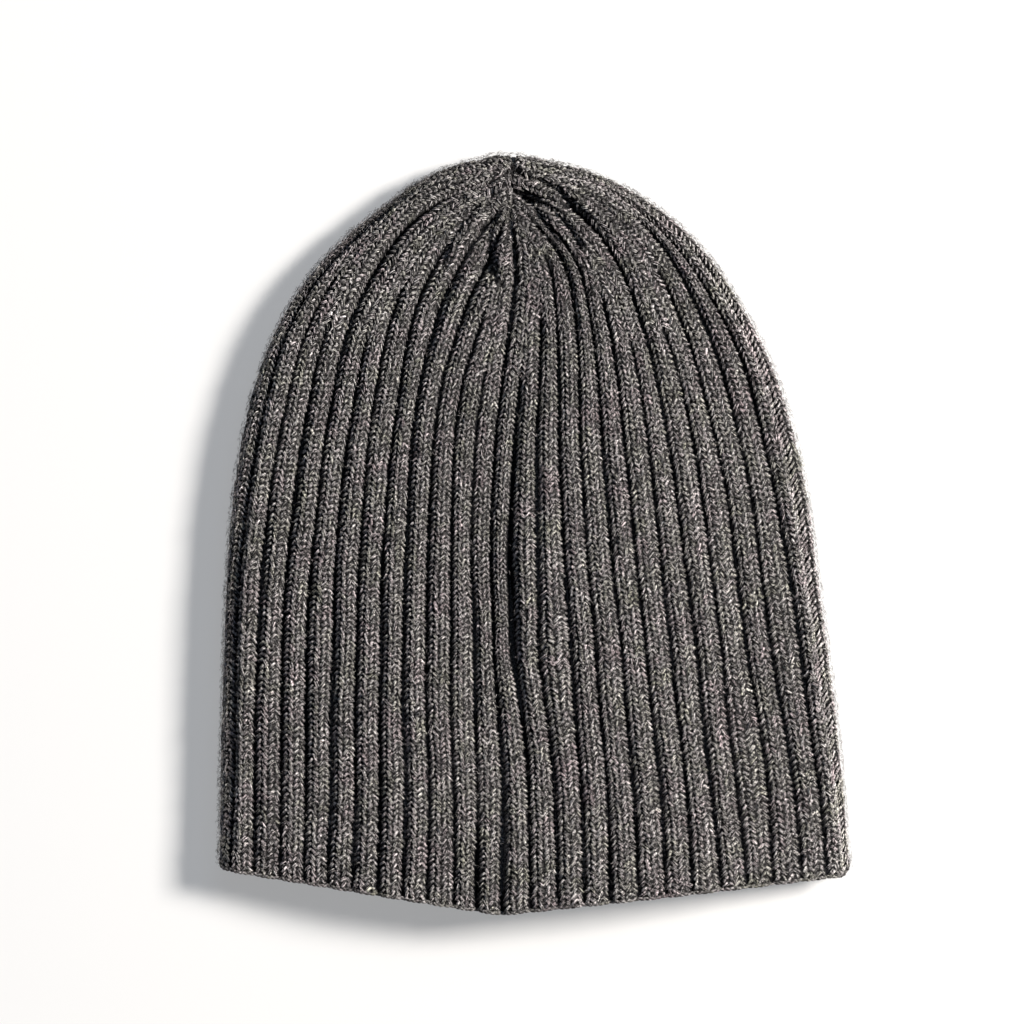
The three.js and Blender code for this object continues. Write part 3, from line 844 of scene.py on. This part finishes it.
def wool_colours(around, rows, count_each, tones=0):
    """Charcoal melange: patches of warm and olive grey along the rows, with pale and dark strands, and
    painted shade that darkens the crown towards its tip.
    """
    count = len(around) * count_each
    tone = WOOL.patches * tone_patches(around, rows) + WOOL.specks * tone_specks(around, rows)
    hue = WOOL.hue_patches * hue_patches(around, rows) + WOOL.hue_specks * hue_specks(around, rows)
    tone = np.tile(tone, count_each) + rng.normal(0, WOOL.spread, count)
    hue = np.tile(hue, count_each) + rng.normal(0, WOOL.hue_spread, count)
    chance = rng.random(count)
    tone = tone + np.where(chance < PALE_STRANDS.below, PALE_STRANDS.by, 0)
    tone = tone - np.where(chance > DARK_STRANDS.above, DARK_STRANDS.by, 0)
    # Painted shade: darker towards the crown's tip
    near_tip = smoothstep((np.tile(rows, count_each) - CROWN_PAINTED_SHADE.from_row) / CROWN_PAINTED_SHADE.over)
    tone = np.clip(tone, *WOOL.range) + tones - CROWN_PAINTED_SHADE.by * near_tip
    level = WOOL.level * np.exp(tone)[:, None]
    hue = np.clip(hue, -WOOL.hue_most, WOOL.hue_most)[:, None]
    tint = np.where(hue > 0, WOOL.warm, WOOL.olive)
    colour = mix(np.array(WOOL.grey), tint, np.abs(hue) / WOOL.hue_most)
    return np.clip(level * colour, *COLOUR_RANGE)


def new_material(name):
    material = bpy.data.materials.new(name)
    material.use_nodes = True
    return material, material.node_tree.nodes["Principled BSDF"]


def set_inputs(node, values):
    for socket, value in values.items():
        node.inputs[socket].default_value = value


def make_material(name, colour, grain, bump, specular):
    """Matte wool: fibres as fine bump and colour grain."""
    material, shader = new_material(name)
    nodes, links = material.node_tree.nodes, material.node_tree.links
    set_inputs(shader, {"Roughness": FIBRES.roughness, "Specular IOR Level": specular})
    place = nodes.new("ShaderNodeTexCoord")
    fibres = nodes.new("ShaderNodeTexNoise")
    set_inputs(fibres, {"Scale": grain, "Detail": FIBRES.detail, "Roughness": FIBRES.noise_roughness})
    links.new(place.outputs["Object"], fibres.inputs["Vector"])
    shade = nodes.new("ShaderNodeMapRange")
    set_inputs(shade, FIBRE_SHADES)
    links.new(fibres.outputs["Fac"], shade.inputs["Value"])
    tinted = nodes.new("ShaderNodeMix")
    tinted.data_type = "RGBA"
    tinted.blend_type = "MULTIPLY"
    tinted.inputs["Factor"].default_value = 1
    if colour:
        tinted.inputs[6].default_value = (*colour, 1)
    else:
        source = nodes.new("ShaderNodeVertexColor")
        source.layer_name = "wool"
        links.new(source.outputs["Color"], tinted.inputs[6])
    links.new(shade.outputs["Result"], tinted.inputs[7])
    links.new(tinted.outputs[2], shader.inputs["Base Color"])
    relief = nodes.new("ShaderNodeBump")
    set_inputs(relief, {"Strength": FIBRES.bump_strength, "Distance": bump})
    links.new(fibres.outputs["Fac"], relief.inputs["Height"])
    links.new(relief.outputs["Normal"], shader.inputs["Normal"])
    return material


materials = {name: make_material(name, *finish) for name, finish in FINISHES.items()}
wool = materials["wool_strands"]


def backing_shares():
    """How far up the rings of the backing lie: closer together near the tip."""
    even = np.linspace(0, 1 - BACKING_TIP.length, BACKING.rows)
    steps = np.arange(1, BACKING_TIP.rows + 1) / (BACKING_TIP.rows + 1)
    crowded = 1 - BACKING_TIP.length * (1 - steps) ** BACKING_TIP.crowding
    shares = np.concatenate([even, crowded])
    return shares[shares < BACKING.last]


def backing_rings(around):
    """The rings of the backing up the inside, down round the hem's edge and up the outside."""

    def ring(share, depth_at, deeper):
        at = np.full(len(around), share)
        return wall.point(around, at, depth_at(around, at) + deeper)[0]

    shares = backing_shares()
    inner_rings = [ring(share, wall.inner_depth, 0) for share in shares[::-2]]
    inner = ring(0.0, wall.inner_depth, -BACKING_HEM.inner)
    outer = ring(0.0, wall.outer_depth, BACKING.depth + BACKING_HEM.outer)
    hem_rings = []
    for step in BACKING_HEM.steps:
        edge = mix(inner, outer, step)
        edge[:, 1] -= BACKING_HEM.bulge * math.sin(math.pi * step)
        hem_rings.append(edge)
    outer_rings = [ring(share, wall.outer_depth, BACKING.depth) for share in shares]
    return inner_rings, hem_rings + outer_rings


def tip_point(depth):
    return wall.point(np.zeros(1), np.ones(1), np.full(1, depth))[0]


def backing_wall():
    columns = RIBS * BACKING.columns_a_rib
    around = np.arange(columns) / BACKING.columns_a_rib
    inner_rings, other_rings = backing_rings(around)
    rings = inner_rings + other_rings
    points = np.concatenate(rings + [tip_point(TIP_WALL), tip_point(BACKING.depth)])
    inner_tip = len(points) - 2
    outer_tip = len(points) - 1
    ring = np.arange(columns)
    after = (ring + 1) % columns
    faces = []
    for row in range(len(rings) - 1):
        a = row * columns
        b = a + columns
        faces += np.column_stack([a + ring, a + after, b + after, b + ring]).tolist()
    top = (len(rings) - 1) * columns
    faces += np.column_stack([ring, np.full(columns, inner_tip), after]).tolist()
    faces += np.column_stack([top + ring, top + after, np.full(columns, outer_tip)]).tolist()
    # Painted shade: the backing darkens from its crests into the grooves
    from_crest = np.tile(2 * np.abs(around - np.floor(around) - 0.5), len(rings))
    from_crest = np.append(from_crest, [0, 0])
    dark = smoothstep((from_crest - BACKING_PAINTED_SHADE.start) / BACKING_PAINTED_SHADE.over)[:, None]
    colours = mix(np.array(BACKING_PAINTED_SHADE.crest), np.array(BACKING_PAINTED_SHADE.groove), dark)
    item = new_object("knit_wall", points, faces, materials["shade_painted_backing"], colours)
    item.data.materials.append(materials["wool_inside"])
    index = np.zeros(len(faces), int)
    index[:(len(inner_rings) - 1) * columns] = 1
    item.data.polygons.foreach_set("material_index", index)
    return item


def plied_stitches(name, stitches):
    """Stitches of plied yarn: each leg is three plies side by side over its round back, turned a little."""
    centres, normals, widths = legs_of(stitches, LEG_STEPS)
    aside = unit(np.cross(unit(np.gradient(centres, axis=1)), normals))
    legs = len(centres)
    t = np.array(LEG_STEPS)[None]
    flip = np.where(rng.random((legs, 1)) < 0.5, 1, -1)
    strands, radii, tones = [], [], []
    for ply_aside, ply_sunk, radius, tone in PLIES:
        wander = rng.normal(0, PLY_CHANCE.aside, (legs, 1))
        off = flip * (ply_aside + wander + PLY_TWIST * (t - 0.5)) * widths
        sunk = ply_sunk + rng.normal(0, PLY_CHANCE.up, (legs, 1, 1))
        strands.append(centres + off[..., None] * aside - normals * sunk)
        thick = 1 + rng.normal(0, PLY_CHANCE.radius, (legs, 1))
        radii.append(radius * widths * thick * TAPER)
        tones.append(np.full(legs, tone))
    normals = np.tile(normals, (len(strands), 1, 1))
    vertices, faces, owner = tubes(np.concatenate(strands), np.concatenate(radii), normals, PLY_SIDES)
    colours = wool_colours(stitches["around"], stitches["row"], 2 * len(strands), np.concatenate(tones))
    return new_object(name, vertices, faces, wool, colours[owner])


def plain_stitches(name, stitches, inside=False):
    """Stitches of the underside and the inside: each leg is one lobe."""
    centres, normals, widths = legs_of(stitches, LOBE.steps, inside)
    vertices, faces, owner = tubes(centres, LOBE.radius * widths * TAPER, normals, LOBE.sides)
    colours = wool_colours(stitches["around"], stitches["row"], 2)
    return new_object(name, vertices, faces, wool, colours[owner])


def all_stitches(stitches, looks):
    """The stitches in pieces: the back in parts from left to right, the front in two, and the inside."""

    def part(chosen):
        return {name: values[chosen] for name, values in stitches.items()}

    turned = from_seam(stitches["around"])
    looks_up = looks > LOWEST_LOOK
    made = []
    for number, (start, end) in enumerate(zip(BACK_PARTS, BACK_PARTS[1:]), 1):
        chosen = looks_up & (turned >= start) & (turned < end)
        made.append(plied_stitches(f"stitches_back_{number}", part(chosen)))
    made.append(plain_stitches("stitches_front_1", part(~looks_up & (turned >= 0))))
    made.append(plain_stitches("stitches_front_2", part(~looks_up & (turned < 0))))
    made.append(plain_stitches("stitches_inside", inside_rows(), inside=True))
    return made


def fuzz(stitches, looks):
    """Short loose fibres that stand up from the wool."""
    count = FUZZ.count
    at_outline = np.abs(looks) < FUZZ.outline_look
    chance = np.where(at_outline, FUZZ.more_at_outline, 1.0) * (looks > FUZZ.lowest_look)
    picked = rng.choice(len(looks), count, p=chance / chance.sum())
    around = stitches["around"][picked] + rng.uniform(-FUZZ.aside, FUZZ.aside, count)
    share = np.clip(stitches["share"][picked] + rng.uniform(-0.5, 0.5, count) / ROWS, 0, 0.999)
    base, normal = wall.point(around, share, wall.outer_depth(around, share) + FUZZ.root)
    way = unit(np.cross(normal, rng.standard_normal(normal.shape)))
    other = np.cross(normal, way)
    size = rng.uniform(*FUZZ.sizes, (count, 1))
    t = np.linspace(0, 1, FUZZ.points)[None]
    up = FUZZ.height * np.sin(math.pi * (FUZZ.rise[0] + FUZZ.rise[1] * t)) * size
    along = FUZZ.length * t * size
    aside = FUZZ.curl * np.sin(math.pi * t * rng.uniform(*FUZZ.curl_turns, (count, 1))) * size
    lines = base[:, None] + normal[:, None] * up[..., None] + way[:, None] * along[..., None]
    lines = lines + other[:, None] * aside[..., None]
    radii = FUZZ.radius * rng.uniform(*FUZZ.radii, (count, 1)) * TAPER
    normals = np.repeat(normal[:, None], FUZZ.points, axis=1)
    vertices, faces, owner = tubes(lines, radii, normals, FUZZ.sides)
    colours = wool_colours(around, share * ROWS, 1)
    return new_object("wool_fuzz", vertices, faces, wool, colours[owner])


def hem_edge():
    """The cast-on edge: ropes of short slanting strands along the hem, on both faces of the wall."""
    line = wall.points[0]
    girth = np.linalg.norm(line - np.roll(line, 1, axis=0), axis=1).sum()
    count = round(girth / HEM_ROPE.pitch)
    turn = np.arange(count) / count * RIBS
    t = np.linspace(-1, 1, HEM_ROPE.points)[None]
    swing = HEM_ROPE.swing * np.sin(math.pi / 2 * t)[..., None]
    strands, normals = [], []
    faces_of_wall = [(wall.outer_depth, HEM_ROPE.deep), (wall.inner_depth, -HEM_ROPE.deep)]
    for (depth_at, deep), (start, lean) in itertools.product(faces_of_wall, HEM_ROUNDS):
        around = turn[:, None] + start * RIBS / count + t * HEM_ROPE.reach / RIB_PITCH
        at = np.zeros(around.shape)
        depth = depth_at(around, at) + deep
        base, normal = wall.point(around, at, depth)
        above, _ = wall.point(around, at + HEM_LOOK_UP, depth)
        down = unit(base - above)
        lowered = base + down * HEM_ROPE.below + down * swing * lean
        strands.append(lowered + normal * swing * HEM_ROPE.bulge)
        normals.append(normal)
    strands = np.concatenate(strands)
    radii = HEM_ROPE.radius * np.sqrt(np.maximum(1 - t**2, 0)) * np.ones((len(strands), 1))
    vertices, faces, owner = tubes(strands, radii, np.concatenate(normals), HEM_ROPE.sides)
    around = np.tile(turn, len(strands) // count)
    # Painted shade: the hem's strands are darkened by their tone
    colours = wool_colours(around, np.zeros(len(around)), 1, HEM_ROPE.tone)
    return new_object("hem_edge", vertices, faces, wool, colours[owner])


def on_ridge(aside, share, depth):
    """A place on the seam's ridge: beside its middle, at a share of the way up, and some depth down."""
    across = aside / np.maximum(wall.sample(wall.rib_width, np.zeros(share.shape), share), 1)
    return wall.point(across, share, depth)


def seam_rope(side, count, depth):
    """One of the joined edges: a rope along the ridge, and the lobes of its last wale."""
    shares = np.linspace(SEAM_RIDGE.first, SEAM_RIDGE.last, count)
    centre, normal = on_ridge(np.full(count, side * SEAM_ROPE.aside), shares, np.full(count, depth))
    beat = SEAM_ROPE.beat * np.sin(np.arange(count) * math.pi / 2)
    thick = SEAM_ROPE.radius * (SEAM_ROPE.even + beat)
    thick[[0, -1]] = 0
    rope = tubes(centre[None], thick[None], normal[None], SEAM_ROPE.sides)
    t = np.linspace(-0.5, 0.5, len(SEAM_LOBE.taper))[None]
    along = shares[:, None] + t * SEAM_LOBE.length / wall.column_length(0)
    along = np.clip(along, SEAM_RIDGE.first, SEAM_RIDGE.last)
    swing = side * (SEAM_ROPE.aside + SEAM_LOBE.lean * np.sin(math.pi * t)) * np.ones(along.shape)
    centre, normal = on_ridge(swing, along, np.full(along.shape, depth + SEAM_RIDGE.height / 4))
    radii = SEAM_LOBE.radius * np.array(SEAM_LOBE.taper)[None] * np.ones((count, 1))
    return [rope, tubes(centre, radii, normal, SEAM_LOBE.sides)]


def oversewing(length, depth):
    """The slanting stitches that sew the two edges together."""
    count = int(length / OVERSEWING.pitch)
    middles = np.linspace(SEAM_RIDGE.first, SEAM_RIDGE.last, count + 2)[1:-1]
    t = np.linspace(-1, 1, OVERSEWING.points)[None]
    one_each = np.ones((count, 1))
    aside = OVERSEWING.half_width * np.sin(math.pi / 2 * t) * one_each
    rise = OVERSEWING.rise * np.cos(math.pi / 2 * t) - OVERSEWING.sunk
    deep = depth + SEAM_RIDGE.height * rise * one_each
    along = middles[:, None] + OVERSEWING.slant * t / wall.column_length(0)
    centre, normal = on_ridge(aside, along, deep)
    radii = OVERSEWING.radius * np.sqrt(np.maximum(1 - t**4, 0)) * one_each
    return tubes(centre, radii, normal, OVERSEWING.sides)


def seam_join():
    depth = WALL + SEAM_RIDGE.gap + SEAM_RIDGE.height / 2
    length = wall.column_length(0) * (SEAM_RIDGE.last - SEAM_RIDGE.first)
    lobes = int(length / SEAM_ROPE.pitch)
    meshes = seam_rope(-1, lobes, depth) + seam_rope(1, lobes, depth) + [oversewing(length, depth)]
    vertices, faces, start = [], [], 0
    for points, triangles, _ in meshes:
        vertices.append(points)
        faces.append(triangles + start)
        start += len(points)
    return new_object("seam_join", np.concatenate(vertices), np.concatenate(faces), materials["seam_yarn"])


def add_camera():
    camera = bpy.data.cameras.new("camera")
    camera.sensor_width = SENSOR
    camera.lens = SENSOR * CAMERA_HEIGHT / (PIXEL * IMAGE)
    camera.clip_end = CLIP_END
    item = add_object("camera", camera)
    item.location = Vector((*VIEW_CENTRE, VIEW_PLANE + CAMERA_HEIGHT)) * MM
    scene.camera = item


def add_floor():
    corners = [(x * FLOOR.half, y * FLOOR.half, 0) for x, y in ((-1, -1), (1, -1), (1, 1), (-1, 1))]
    mesh = bpy.data.meshes.new("floor")
    mesh.from_pydata(corners, [], [(0, 1, 2, 3)])
    material, shader = new_material("floor")
    set_inputs(shader, {"Base Color": (*FLOOR.colour, 1), "Roughness": FLOOR.roughness})
    set_inputs(shader, {"Emission Color": (1, 1, 1, 1), "Emission Strength": FLOOR.glow})
    mesh.materials.append(material)
    item = add_object("floor", mesh)


def add_light(name, place, size, power, colour):
    light = bpy.data.lights.new(name, "AREA")
    light.size = size
    light.energy = power
    light.color = colour
    item = add_object(name, light)
    item.location = place
    item.rotation_euler = (-Vector(place)).to_track_quat("-Z", "Y").to_euler()


def add_sky():
    world = bpy.data.worlds.new("world")
    world.use_nodes = True
    values = {"Color": (*SKY.colour, 1), "Strength": SKY.strength}
    set_inputs(world.node_tree.nodes["Background"], values)
    scene.world = world


stitches = wale_rows()
looks = wall.sample(wall.normals, stitches["around"], stitches["share"])[:, 2]
pieces = [backing_wall()]
pieces += all_stitches(stitches, looks)
pieces.append(fuzz(stitches, looks))
pieces.append(hem_edge())
seam = seam_join()
for piece in pieces:
    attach(piece, "root")
    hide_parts("knit_body")
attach(seam, "root")
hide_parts("back_seam")

add_camera()
add_floor()
for light in LIGHTS:
    add_light(*light)
add_sky()
scene.view_settings.view_transform = "Standard"
